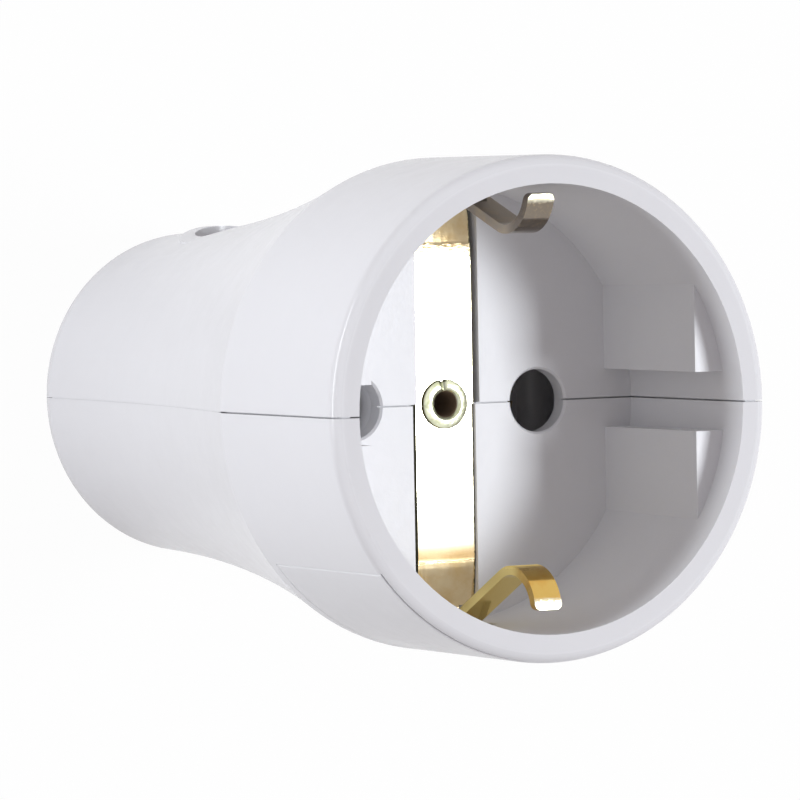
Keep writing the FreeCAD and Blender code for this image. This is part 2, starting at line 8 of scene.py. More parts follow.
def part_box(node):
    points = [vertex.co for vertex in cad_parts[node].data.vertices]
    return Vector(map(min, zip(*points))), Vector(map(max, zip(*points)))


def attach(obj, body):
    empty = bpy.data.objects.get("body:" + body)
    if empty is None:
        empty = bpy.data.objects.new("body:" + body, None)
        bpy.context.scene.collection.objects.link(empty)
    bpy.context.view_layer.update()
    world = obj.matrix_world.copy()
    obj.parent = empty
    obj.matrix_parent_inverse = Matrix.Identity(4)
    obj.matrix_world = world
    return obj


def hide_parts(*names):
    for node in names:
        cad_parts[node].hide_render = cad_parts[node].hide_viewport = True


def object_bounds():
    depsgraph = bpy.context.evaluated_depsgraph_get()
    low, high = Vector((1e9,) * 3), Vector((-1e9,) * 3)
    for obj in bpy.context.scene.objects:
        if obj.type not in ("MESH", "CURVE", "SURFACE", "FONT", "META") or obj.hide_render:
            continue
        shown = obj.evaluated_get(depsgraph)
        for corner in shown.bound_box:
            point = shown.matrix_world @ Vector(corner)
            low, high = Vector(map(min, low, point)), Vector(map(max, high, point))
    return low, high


bl_info = {
    "name": "Inline socket finish",
    "version": (1, 0, 0),
    "blender": (4, 5, 0),
    "location": "View3D > Sidebar > Socket",
    "description": "Finishes, small formed pieces, light and camera for an inline socket connector",
    "category": "Object",
}

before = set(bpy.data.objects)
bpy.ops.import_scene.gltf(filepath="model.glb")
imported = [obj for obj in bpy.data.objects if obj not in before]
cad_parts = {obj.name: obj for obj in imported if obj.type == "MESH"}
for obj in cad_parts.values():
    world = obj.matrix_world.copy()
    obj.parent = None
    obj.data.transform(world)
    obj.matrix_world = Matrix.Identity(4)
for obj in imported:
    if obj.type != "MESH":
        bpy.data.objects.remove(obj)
CAD_BOX = [list(corner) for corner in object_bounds()]
MM = 0.001
MICRON = 1e-6
BODY = "root"

# Corners read from the parts in model.glb, in metres
PART_HIGH = Vector(CAD_BOX[1])
STRIP_LOW, STRIP_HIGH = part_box("earth_bracket")
EYELET_LOW, EYELET_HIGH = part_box("earth_eyelet")

# Levels and radii of the moulding
MOUTH_Z = PART_HIGH.z
HEAD_RADIUS = PART_HIGH.x
RIM_ROUND = 1.1 * MM
RIM_ROUND_Z = MOUTH_Z - RIM_ROUND
PIN_REACH = 9.5 * MM
# Radius and level of the grip's outside at its rear, waist and shoulder
GRIP_CURVE = ((0.014803, 0.0042), (0.016871, 0.0261), (0.02175, 0.048))
REAR_Z = GRIP_CURVE[0][1]
SHOULDER_RADIUS, SHOULDER_Z = GRIP_CURVE[2]
# Lower and upper end of the tube behind the left pin hole, and of the plate in the head's panel
HOLE_WEB_LEVELS = (45.6 * MM, 48.28 * MM)
PANEL_LEVELS = (SHOULDER_Z + 1.24 * MM, MOUTH_Z - 0.76 * MM)
# Height of the eyelet's rim over the strip and thickness of its foot, as in the CAD
EYELET_RIM = 0.45 * MM
EYELET_FOOT = 0.5 * MM

# Where the moulding's finish changes: from the first level or radius to the second
WALL_REACH = (HEAD_RADIUS - 0.75 * MM, HEAD_RADIUS - 1.05 * MM)
GRAIN_START = (47.0 * MM, 48.0 * MM)
WORKS_REACH = (17.8 * MM, 17.3 * MM)
WORKS_START = (34.0 * MM, 36.0 * MM)
RIM_START = (MOUTH_Z - 0.25 * MM, MOUTH_Z - 0.1 * MM)

# How far from the middle the earth strip turns up, at both of its ends
BEND = STRIP_HIGH.y - 6.2 * MM

# Light tone, worn tone, roughness and scale of the tool rings of each bare metal
METALS = {
    "turned_brass": ((0.78, 0.64, 0.36), (0.62, 0.46, 0.22), 0.28, 6000.0),
    "strap_nickel": ((0.84, 0.84, 0.85), (0.74, 0.74, 0.75), 0.5, 5000.0),
    "ring_steel": ((0.62, 0.63, 0.65), (0.45, 0.46, 0.48), 0.3, 4000.0),
    "leaf_bronze": ((0.72, 0.52, 0.32), (0.55, 0.36, 0.2), 0.3, 5000.0),
    "plated_steel": ((0.72, 0.73, 0.74), (0.5, 0.5, 0.52), 0.22, 8000.0),
}
METAL_NODES = {
    "turned_brass": ("contact_sleeve_left", "contact_sleeve_right", "housing_insert"),
    "strap_nickel": ("earth_terminal",),
    "ring_steel": ("contact_ring_left", "contact_ring_right"),
    "leaf_bronze": ("earth_terminal_leaf", "terminal_leaf_left", "terminal_leaf_right"),
    "plated_steel": (
        "earth_terminal_screw", "terminal_screw_left", "terminal_screw_right",
        "clamp_screw_left", "clamp_screw_right", "housing_screw",
    ),
}

# Studio: the lamps aim at this share of the part's height and stand this far from there, each in
# its own direction
LAMP_AIM = 0.75
LAMP_DISTANCE = 0.6
LAMP_COLOR = (0.935, 0.965, 1.0)
KEY_WAY = Vector((0.511, 0.0, 0.859))
KEY_SIZE = (0.15, 0.15)
SIDE_WAY = Vector((-0.964, 0.26, 0.05)).normalized()
SIDE_SIZE = (0.5, 0.08)
AMBIENT_COLOR = (1.0, 0.925, 0.935, 1.0)
WHITE = (1.0, 1.0, 1.0, 1.0)
# Share of plain white in the floor where the camera sees it, and where metal mirrors it
FLOOR_SEEN = 0.97
FLOOR_MIRRORED = 0.45

# The photograph's camera, measured from the middle of the mouth
CAMERA_EYE = Vector((-0.36427, 0.02768, 0.58596))
CAMERA_TARGET = Vector((-0.01159, 0.00105, -0.00650))
CAMERA_UP = Vector((0.03516, 0.99909, -0.02398))


def add_node(tree, kind, values=None, **settings):
    """Adds a shader node, sets its options, and sets or links its inputs by name or number."""
    node = tree.nodes.new(kind)
    for name, value in settings.items():
        setattr(node, name, value)
    for name, value in (values or {}).items():
        if isinstance(value, bpy.types.NodeSocket):
            tree.links.new(value, node.inputs[name])
        else:
            node.inputs[name].default_value = value
    return node


def new_material(name):
    """An empty node material with its Principled shader already wired to the output."""
    material = bpy.data.materials.new(name)
    material.use_nodes = True
    tree = material.node_tree
    tree.nodes.clear()
    shader = add_node(tree, "ShaderNodeBsdfPrincipled")
    add_node(tree, "ShaderNodeOutputMaterial", {"Surface": shader.outputs["BSDF"]})
    return material, tree, shader


def place_of(tree):
    """Position in the part's own frame, in metres."""
    return add_node(tree, "ShaderNodeTexCoord").outputs["Object"]


def axes_of(tree, place):
    return add_node(tree, "ShaderNodeSeparateXYZ", {"Vector": place}).outputs


def stretched(tree, place, scale):
    """The position scaled by a vector, so a pattern runs long along the smallest of the three."""
    return add_node(tree, "ShaderNodeMapping", {"Vector": place, "Scale": scale}).outputs["Vector"]


def noise(tree, place, scale, detail=3.0, roughness=0.55, **values):
    inputs = {"Vector": place, "Scale": scale, "Detail": detail, "Roughness": roughness}
    inputs.update(values)
    return add_node(tree, "ShaderNodeTexNoise", inputs).outputs["Fac"]


def between(tree, value, low, high, to_low=0.0, to_high=1.0):
    """Smooth step of a value from one range to another."""
    node = add_node(
        tree, "ShaderNodeMapRange",
        {"Value": value, "From Min": low, "From Max": high, "To Min": to_low, "To Max": to_high},
        interpolation_type="SMOOTHSTEP",
    )
    return node.outputs["Result"]


def maths(tree, operation, first, second=0.0):
    return add_node(tree, "ShaderNodeMath", {0: first, 1: second}, operation=operation).outputs[0]


def product(tree, first, second):
    return maths(tree, "MULTIPLY", first, second)


def one_minus(tree, value):
    return maths(tree, "SUBTRACT", 1.0, value)


def reach_from_axis(tree, axes):
    """Distance from the part's long axis: the root of x squared plus y squared."""
    across = product(tree, axes["X"], axes["X"])
    along = product(tree, axes["Y"], axes["Y"])
    return maths(tree, "SQRT", maths(tree, "ADD", across, along))


def mix_numbers(tree, fac, first, second):
    """Number mix, by the place of its own sockets among those of every data type."""
    node = add_node(tree, "ShaderNodeMix", {0: fac, 2: first, 3: second}, data_type="FLOAT")
    return node.outputs[0]


def mix_node_colors(tree, fac, dark, light):
    """Colour mix by position of its own sockets, which repeat the names A and B for each data type."""
    node = tree.nodes.new("ShaderNodeMix")
    node.data_type = "RGBA"
    for index, value in ((0, fac), (6, dark), (7, light)):
        if isinstance(value, bpy.types.NodeSocket):
            tree.links.new(value, node.inputs[index])
        elif index:
            node.inputs[index].default_value = (*value[:3], 1.0)
        else:
            node.inputs[index].default_value = value
    return node.outputs[2]


def bump(tree, height, distance, strength=1.0, normal=None):
    values = {"Height": height, "Distance": distance, "Strength": strength}
    if normal is not None:
        values["Normal"] = normal
    return add_node(tree, "ShaderNodeBump", values).outputs["Normal"]


def moulded_white(looks):
    """Cool white moulding: polished outside, fine grain inside the plug recess, matt faces behind its
    floor and round the mouth."""
    material, tree, shader = new_material("moulded_white")
    place = place_of(tree)
    axes = axes_of(tree, place)
    radius = reach_from_axis(tree, axes)
    in_recess = product(tree, between(tree, radius, *WALL_REACH), between(tree, axes["Z"], *GRAIN_START))
    behind = product(tree, between(tree, radius, *WORKS_REACH), between(tree, axes["Z"], *WORKS_START))
    inside = maths(tree, "MAXIMUM", in_recess, behind)
    at_rim = between(tree, axes["Z"], *RIM_START)
    on_walls = product(tree, inside, one_minus(tree, at_rim))

    clouds = noise(tree, place, 55.0, 2.0)
    base = mix_node_colors(tree, clouds, looks.shade_color, looks.plastic_color)
    tree.links.new(base, shader.inputs["Base Color"])

    grain = noise(tree, place, 1.0 / looks.grain_size, 2.0, 0.6)
    haze = noise(tree, place, 260.0, 4.0, 0.6)
    polish = between(tree, haze, 0.3, 0.7, looks.gloss_roughness, looks.gloss_roughness + 0.07)
    matt = between(tree, grain, 0.3, 0.7, looks.recess_roughness, looks.recess_roughness + 0.04)
    fine = between(tree, haze, 0.3, 0.7, looks.rim_roughness - 0.05, looks.rim_roughness + 0.05)
    rough = mix_numbers(tree, inside, polish, mix_numbers(tree, at_rim, matt, fine))
    tree.links.new(rough, shader.inputs["Roughness"])

    peel = noise(tree, place, 1.0 / looks.peel_size, 2.0, 0.5)
    skin = bump(tree, peel, looks.peel_size * 0.012, 0.6)
    pitted = bump(tree, product(tree, grain, on_walls), looks.grain_size * 0.05, 0.6, skin)
    tree.links.new(pitted, shader.inputs["Normal"])
    shader.inputs["IOR"].default_value = 1.42
    shader.inputs["Subsurface Weight"].default_value = 0.12
    shader.inputs["Subsurface Radius"].default_value = (0.9, 0.85, 0.8)
    shader.inputs["Subsurface Scale"].default_value = 0.6 * MM
    return material


def strip_tone(tree, looks, reach, on_lower, stain):
    """Painted reflection: a pale middle where the strip mirrors the key lamp, gold with faint stains
    past the bends where it mirrors the dark recess wall, turning gold earlier towards the lower one.
    """
    past_bend = between(tree, reach, BEND - 0.9 * MM, BEND + 0.3 * MM)
    # Painted reflection: on the lower end the pale mirrored lamp gives way to gold sooner.
    warming = product(tree, on_lower, between(tree, reach, BEND - 1.6 * MM, BEND + 0.1 * MM))
    bend_gold = mix_node_colors(tree, between(tree, stain, 0.35, 0.75), looks.brass_color, looks.worn_color)
    gold_share = maths(tree, "MAXIMUM", past_bend, warming)
    return mix_node_colors(tree, gold_share, looks.pale_reflection_color, bend_gold)


def clip_tone(tree, looks, axes, stain, ragged, tone):
    """Painted shade on the upper clip: grey-brown, darker on its hook with a few worn flecks. Painted
    gold reflection on the lower clip: light gold on its arm, deep gold with amber stains on its hook."""
    on_clip = between(tree, axes["Z"], STRIP_LOW.z + 2.2 * MM, STRIP_LOW.z + 4.0 * MM)
    on_hook = between(tree, axes["Z"], STRIP_HIGH.z - 4.0 * MM, STRIP_HIGH.z - 2.4 * MM)
    upper = product(tree, on_clip, maths(tree, "GREATER_THAN", axes["Y"], 0.0))
    lower = maths(tree, "SUBTRACT", on_clip, upper)
    grey = mix_node_colors(tree, between(tree, stain, 0.45, 1.1), looks.upper_clip_shade, looks.worn_color)
    fleck_share = between(tree, ragged, 0.5, 0.8, 0.0, 0.22)
    flecked = mix_node_colors(tree, fleck_share, looks.upper_hook_shade, looks.worn_color)
    grey = mix_node_colors(tree, on_hook, grey, flecked)
    gold = mix_node_colors(tree, between(tree, stain, 0.4, 0.8), looks.lower_hook_reflection, looks.clip_amber)
    gold = mix_node_colors(tree, on_hook, looks.lower_arm_reflection, gold)
    tone = mix_node_colors(tree, product(tree, upper, 0.95), tone, grey)
    return mix_node_colors(tree, product(tree, lower, 0.95), tone, gold)


def sheared_edges(tree, axes, ragged):
    """One on the strip's long edges: ragged along the right one, a thin line along the left one."""
    start = between(tree, ragged, 0.35, 0.65, STRIP_HIGH.x - 0.14 * MM, STRIP_HIGH.x - 0.02 * MM)
    right = maths(tree, "GREATER_THAN", axes["X"], start)
    left = maths(tree, "LESS_THAN", axes["X"], STRIP_LOW.x + 0.015 * MM)
    return maths(tree, "MAXIMUM", right, left)


def strip_roughness(tree, looks, rolled, reach, on_lower):
    """Bright, but brushed duller towards the lower bend and on the foot of the ramp after it."""
    bright = between(tree, rolled, 0.25, 0.75, looks.brass_roughness, looks.brass_roughness + 0.04)
    slow = between(tree, reach, BEND - 6.5 * MM, BEND - 2.5 * MM, 0.0, 0.42)
    fast = between(tree, reach, BEND - 1.5 * MM, BEND, 0.0, 0.24)
    ramp_foot = between(tree, reach, BEND + 1.3 * MM, BEND + 0.2 * MM, 0.0, 0.2)
    on_ramp = between(tree, reach, BEND + 0.1 * MM, BEND + 0.45 * MM)
    brushed = mix_numbers(tree, on_ramp, maths(tree, "ADD", slow, fast), ramp_foot)
    return maths(tree, "ADD", bright, product(tree, brushed, on_lower))


def strip_relief(tree, place, rolled, reach, on_lower, at_tip):
    """Rolled lines, an easing into each bend, wrinkles across it, and torn ends on the clips."""
    lines = bump(tree, rolled, 0.5 * MICRON, 0.4)
    easing = between(tree, reach, BEND - 3.2 * MM, BEND + 0.6 * MM, 1.0, 0.0)
    coined = bump(tree, easing, 0.15 * MM, 1.0, lines)
    rise = between(tree, reach, BEND - 1.3 * MM, BEND - 0.3 * MM)
    fall = between(tree, reach, BEND + 0.9 * MM, BEND + 0.2 * MM)
    wrinkles = noise(tree, stretched(tree, place, (0.28, 1.0, 1.0)), 4200.0, 3.0, 0.6, Distortion=1.4)
    wrinkled = product(tree, wrinkles, product(tree, rise, fall))
    creases = product(tree, wrinkled, one_minus(tree, product(tree, on_lower, 0.5)))
    creased = bump(tree, creases, 60 * MICRON, 1.0, coined)
    torn = product(tree, noise(tree, place, 3600.0, 3.0, 0.7), at_tip)
    return bump(tree, torn, 60 * MICRON, 1.0, creased)


def stamped_brass(looks):
    """Rolled strip: lines along its length and wrinkles where it bends. Its colour holds painted
    reflection (pale middle, gold ends and lower clip), painted shade on the upper clip and painted
    glints on the clips' torn tips.
    """
    material, tree, shader = new_material("stamped_brass")
    place = place_of(tree)
    axes = axes_of(tree, place)
    reach = maths(tree, "ABSOLUTE", axes["Y"])
    on_lower = maths(tree, "LESS_THAN", axes["Y"], 0.0)
    ragged = noise(tree, place, 2600.0, 3.0, 0.7)
    stain = noise(tree, place, 420.0, 4.0, 0.6)
    rolled = noise(tree, stretched(tree, place, (1.0, 0.06, 1.0)), 5200.0, 3.0, 0.6)
    ragged_z = maths(tree, "ADD", axes["Z"], product(tree, ragged, 0.16 * MM))
    at_tip = between(tree, ragged_z, STRIP_HIGH.z - 0.17 * MM, STRIP_HIGH.z - 0.03 * MM)

    tone = strip_tone(tree, looks, reach, on_lower, stain)
    tone = clip_tone(tree, looks, axes, stain, ragged, tone)
    # Painted glint: the clips' torn tips take the pale tone, as if catching the key lamp.
    tone = mix_node_colors(tree, at_tip, tone, looks.pale_reflection_color)
    tone = mix_node_colors(tree, sheared_edges(tree, axes, ragged), tone, looks.dark_edge_and_shadow_color)
    tree.links.new(tone, shader.inputs["Base Color"])
    rough = strip_roughness(tree, looks, rolled, reach, on_lower)
    tree.links.new(rough, shader.inputs["Roughness"])
    relief = strip_relief(tree, place, rolled, reach, on_lower, at_tip)
    tree.links.new(relief, shader.inputs["Normal"])
    shader.inputs["Metallic"].default_value = 1.0
    return material


def rolled_brass(looks):
    """Pale brass of the eyelet: hammered a little by the tool, with painted shade inside the bore and a
    painted shadow line under its lip.
    """
    material, tree, shader = new_material("rolled_brass")
    place = place_of(tree)
    axes = axes_of(tree, place)
    radius = reach_from_axis(tree, axes)
    stain = noise(tree, place, 900.0, 3.0, 0.6)
    tone = mix_node_colors(tree, between(tree, stain, 0.4, 0.7), looks.eyelet_color, looks.eyelet_shade)
    # Painted shade: the deep bore is coloured dark brown, as little light reaches into it.
    in_bore = between(tree, radius, looks.eyelet_bore + 0.1 * MM, looks.eyelet_bore + 0.02 * MM)
    tone = mix_node_colors(tree, in_bore, tone, looks.bore_shade_color)
    # Painted shadow: the outside of the lip's underside is darkened where it overhangs the strip.
    under_lip = between(tree, axes["Z"], EYELET_HIGH.z - 0.2 * MM, EYELET_HIGH.z - 0.26 * MM)
    outside = maths(tree, "GREATER_THAN", radius, EYELET_HIGH.x - 0.3 * MM)
    tone = mix_node_colors(tree, product(tree, under_lip, outside), tone, looks.dark_edge_and_shadow_color)
    tree.links.new(tone, shader.inputs["Base Color"])
    tree.links.new(between(tree, in_bore, 0.0, 1.0, 0.22, 0.8), shader.inputs["Roughness"])
    dents = noise(tree, place, 2200.0, 3.0, 0.65, Distortion=0.6)
    tree.links.new(bump(tree, dents, 30 * MICRON, 0.8), shader.inputs["Normal"])
    shader.inputs["Metallic"].default_value = 1.0
    return material


def turned_metal(name, light, worn, roughness, ring_scale):
    """Bare metal with fine tool rings across Z, faint stains and a little wear."""
    material, tree, shader = new_material(name)
    place = place_of(tree)
    rings = noise(tree, stretched(tree, place, (0.12, 0.12, 1.0)), ring_scale, 2.0, 0.5)
    stain = noise(tree, place, 500.0, 4.0, 0.6)
    tone = mix_node_colors(tree, between(tree, stain, 0.4, 0.8), light, worn)
    tree.links.new(tone, shader.inputs["Base Color"])
    rough = between(tree, rings, 0.3, 0.7, roughness, roughness + 0.12)
    tree.links.new(rough, shader.inputs["Roughness"])
    tree.links.new(bump(tree, rings, 3 * MICRON, 0.6), shader.inputs["Normal"])
    shader.inputs["Metallic"].default_value = 1.0
    return material


def matt_moulding(looks):
    """Fine matt plastic of the cord clamp."""
    material, tree, shader = new_material("matt_moulding")
    place = place_of(tree)
    grain = noise(tree, place, 5000.0, 3.0, 0.6)
    clouds = noise(tree, place, 120.0, 2.0)
    tone = mix_node_colors(tree, clouds, looks.shade_color, looks.clamp_color)
    tree.links.new(tone, shader.inputs["Base Color"])
    tree.links.new(between(tree, grain, 0.3, 0.7, 0.48, 0.62), shader.inputs["Roughness"])
    tree.links.new(bump(tree, grain, 12 * MICRON, 0.6), shader.inputs["Normal"])
    return material


def dress(node_name, material):
    """Puts one material in every slot of a CAD node."""
    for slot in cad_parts[node_name].material_slots:
        slot.material = material


def grid_mesh(name, points, close_u, close_v, material):
    """Object from a grid of points (u, v, xyz): four-sided faces between neighbours, wrapped round
    where u or v is closed."""
    rows, columns = points.shape[:2]
    index = np.arange(rows * columns).reshape(rows, columns)
    if close_u:
        index = np.vstack([index, index[:1]])
    if close_v:
        index = np.hstack([index, index[:, :1]])
    corners = [index[:-1, :-1], index[:-1, 1:], index[1:, 1:], index[1:, :-1]]
    faces = np.stack(corners, axis=-1).reshape(-1, 4)
    mesh = bpy.data.meshes.new(name)
    mesh.from_pydata(points.reshape(-1, 3).tolist(), [], faces.tolist())
    mesh.polygons.foreach_set("use_smooth", np.ones(len(faces), dtype=bool))
    mesh.materials.append(material)
    mesh.validate()
    mesh.update()
    piece = bpy.data.objects.new(name, mesh)
    bpy.context.scene.collection.objects.link(piece)
    return piece


def eyelet_points(bore, barrel, rim, crown, strip_z, foot_z, split_angle):
    """Closed profile turned about Z: up the bore, out over a quarter-ellipse flare, down a gentle
    slope to the lip, round it, back under it, down to the strip, and round the spread foot. The top
    dips by a narrow bell at the split, and swells a little with the angle like a hand-set rivet."""
    turn = np.linspace(0, 2 * math.pi, 200, endpoint=False)
    sweep = np.linspace(0, math.pi / 2, 12)
    flare = 0.42 * (rim - bore)
    flare_start = 0.15
    flare_r = bore + flare * (1 - np.cos(sweep))
    flare_z = strip_z + crown * (flare_start + (1 - flare_start) * np.sin(sweep))

    lip = 0.11 * MM
    lip_top = strip_z + 0.66 * crown
    edge = np.linspace(math.pi / 2, -math.pi / 2, 9)
    lip_r = rim - lip + lip * np.cos(edge)
    lip_z = lip_top - lip + lip * np.sin(edge)
    under_r = np.array([rim - 0.34 * MM, rim - 0.4 * MM])
    under_z = np.array([lip_top - 2 * lip - 0.02 * MM, strip_z])

    corner = 0.1 * MM
    foot_r = np.array([barrel, barrel, rim, rim, rim - corner, bore + corner, bore])
    foot_drop = np.array(
        [0, 0, EYELET_FOOT - 2 * corner, EYELET_FOOT, EYELET_FOOT, EYELET_FOOT - corner])
    foot_levels = np.concatenate([[strip_z], foot_z - foot_drop])

    radius = np.concatenate([flare_r, lip_r, under_r, foot_r])
    height = np.concatenate([flare_z, lip_z, under_z, foot_levels])
    crown_share = np.concatenate([np.sin(sweep), np.ones(len(edge)), [0.8, 0.0], np.zeros(len(foot_r))])
    away = (turn - split_angle + math.pi) % (2 * math.pi) - math.pi
    split_width = 0.11
    dip = np.exp(-(away / split_width) ** 2)[:, None]
    swell = 0.07 * np.sin(2 * turn + 0.6)[:, None] + 0.05 * np.sin(3 * turn)[:, None]
    z = height + crown * crown_share * (swell - 0.55 * dip)
    waver = 0.3 * np.sin(2 * turn + 2.0)[:, None]
    r = radius + 0.12 * MM * crown_share ** 2 * (waver - dip * crown_share)
    x = r * np.cos(turn)[:, None]
    y = r * np.sin(turn)[:, None]
    return np.stack([x, y, z], axis=-1)


def grip_radius(z):
    """Radius of the grip's long hollow curve: the circle through its rear, waist and shoulder."""
    (r0, z0), (r1, z1), (r2, z2) = GRIP_CURVE
    ahead = np.array([[r1 - r0, z1 - z0], [r2 - r0, z2 - z0]])
    start = r0 ** 2 + z0 ** 2
    span = np.array([r1 ** 2 + z1 ** 2 - start, r2 ** 2 + z2 ** 2 - start]) / 2
    centre_r, centre_z = np.linalg.solve(ahead, span)
    reach = math.hypot(r0 - centre_r, z0 - centre_z)
    return centre_r - np.sqrt(reach ** 2 - (z - centre_z) ** 2)


def seam_ribbon(side, depth, width):
    """Ribbon that lies in the grip's parting line, a hair below the surface, from end to shoulder."""
    z = np.linspace(REAR_Z, SHOULDER_Z - 0.8 * MM, 60)
    radius = grip_radius(z) - depth
    edges = (-side * width / 2, side * width / 2)
    rows = [np.stack([side * radius, np.full_like(z, y), z], axis=-1) for y in edges]
    return np.stack(rows, axis=1)


def hole_web_points(middle_x, inner, outer, low_z, high_z):
    """Short tube behind a pin hole's lip: a rectangle with small chamfers turned about the hole."""
    turn = np.linspace(0, 2 * math.pi, 96, endpoint=False)
    cut = 0.05 * MM
    radius = np.array([inner, inner, inner + cut, outer - cut, outer, outer, outer - cut, inner + cut])
    z = np.array([low_z + cut, high_z - cut, high_z, high_z, high_z - cut, low_z + cut, low_z, low_z])
    x = middle_x + radius * np.cos(turn)[:, None]
    y = radius * np.sin(turn)[:, None]
    return np.stack([x, y, np.broadcast_to(z, x.shape)], axis=-1)


def panel_plate_points(half_angle, low_z, high_z, thickness):
    """Thin curved plate in the head's sunk panel: its profile follows the head's slight taper and the
    round at the rim, a hair inside them, and comes back below by its thickness. Both ends are closed
    by drawing the profile in to its middle radius."""
    hair = 0.012 * MM
    straight = np.linspace(low_z, RIM_ROUND_Z, 30)
    rounded = np.linspace(RIM_ROUND_Z, high_z, 10)[1:]
    z = np.concatenate([straight[:1], straight[:1] + 0.01 * MM, straight[1:], rounded])
    taper = (HEAD_RADIUS - SHOULDER_RADIUS) / (RIM_ROUND_Z - SHOULDER_Z)
    radius = HEAD_RADIUS - hair - taper * np.maximum(RIM_ROUND_Z - z, 0.0)
    radius -= RIM_ROUND - np.sqrt(RIM_ROUND ** 2 - np.maximum(z - RIM_ROUND_Z, 0.0) ** 2)
    radius = np.concatenate([radius, radius[::-1] - thickness])
    z = np.concatenate([z, z[::-1]])
    turn = np.linspace(half_angle, -half_angle, 160) - math.pi / 2
    turn = np.concatenate([turn[:1], turn, turn[-1:]])
    reach = np.broadcast_to(radius, (len(turn), len(radius))).copy()
    middle = (radius + radius[::-1]) / 2
    reach[0] = middle
    reach[-1] = middle
    x = reach * np.cos(turn)[:, None]
    y = reach * np.sin(turn)[:, None]
    return np.stack([x, y, np.broadcast_to(z, x.shape)], axis=-1)


class SocketHousingLooks(bpy.types.PropertyGroup):
    plastic_color: bpy.props.FloatVectorProperty(
        name="Plastic colour", description="Lightest tone of the white moulding",
        default=(0.80, 0.802, 0.825), min=0.0, max=1.0, subtype="COLOR")
    shade_color: bpy.props.FloatVectorProperty(
        name="Plastic shade", description="Slightly deeper tone in the moulding's clouds",
        default=(0.775, 0.778, 0.80), min=0.0, max=1.0, subtype="COLOR")
    clamp_color: bpy.props.FloatVectorProperty(
        name="Clamp colour", description="Tone of the cord clamp",
        default=(0.62, 0.62, 0.61), min=0.0, max=1.0, subtype="COLOR")
    gloss_roughness: bpy.props.FloatProperty(
        name="Outside roughness", description="Roughness of the polished outside",
        default=0.16, min=0.0, max=1.0, subtype="FACTOR")
    recess_roughness: bpy.props.FloatProperty(
        name="Recess roughness", description="Roughness of the grained recess",
        default=0.38, min=0.0, max=1.0, subtype="FACTOR")
    rim_roughness: bpy.props.FloatProperty(
        name="Rim roughness", description="Roughness of the flat face round the mouth",
        default=0.85, min=0.0, max=1.0, subtype="FACTOR")
    grain_size: bpy.props.FloatProperty(
        name="Grain size", description="Width of the grain in the plug recess",
        default=0.00028, min=0.00005, max=0.002, unit="LENGTH")
    peel_size: bpy.props.FloatProperty(
        name="Ripple size", description="Width of the faint ripples in the outside",
        default=0.0035, min=0.0005, max=0.02, unit="LENGTH")
    seam_web_width: bpy.props.FloatProperty(
        name="Seam web width", description="Width of the web in the grip's parting line",
        default=0.036 * MM, min=0.0, max=0.2 * MM, unit="LENGTH")
    seam_web_depth: bpy.props.FloatProperty(
        name="Seam web depth", description="Depth of the web below the grip's surface",
        default=0.03 * MM, min=0.0, max=0.5 * MM, unit="LENGTH")
    hole_web_bore: bpy.props.FloatProperty(
        name="Hole web bore", description="Inner radius of the tube behind the left pin hole's lip",
        default=2.82 * MM, min=2.5 * MM, max=3.3 * MM, unit="LENGTH")
    hole_web_outer: bpy.props.FloatProperty(
        name="Hole web outside", description="Outer radius of the tube behind the left pin hole's lip",
        default=3.4 * MM, min=3.0 * MM, max=3.7 * MM, unit="LENGTH")
    panel_half_angle: bpy.props.FloatProperty(
        name="Panel half angle", description="Half the angle that the plate in the head's panel spans",
        default=math.radians(51.9), min=0.1, max=math.radians(52.0), subtype="ANGLE")
    panel_thickness: bpy.props.FloatProperty(
        name="Panel thickness", description="Thickness of the plate in the head's panel",
        default=0.13 * MM, min=0.02 * MM, max=0.135 * MM, unit="LENGTH")


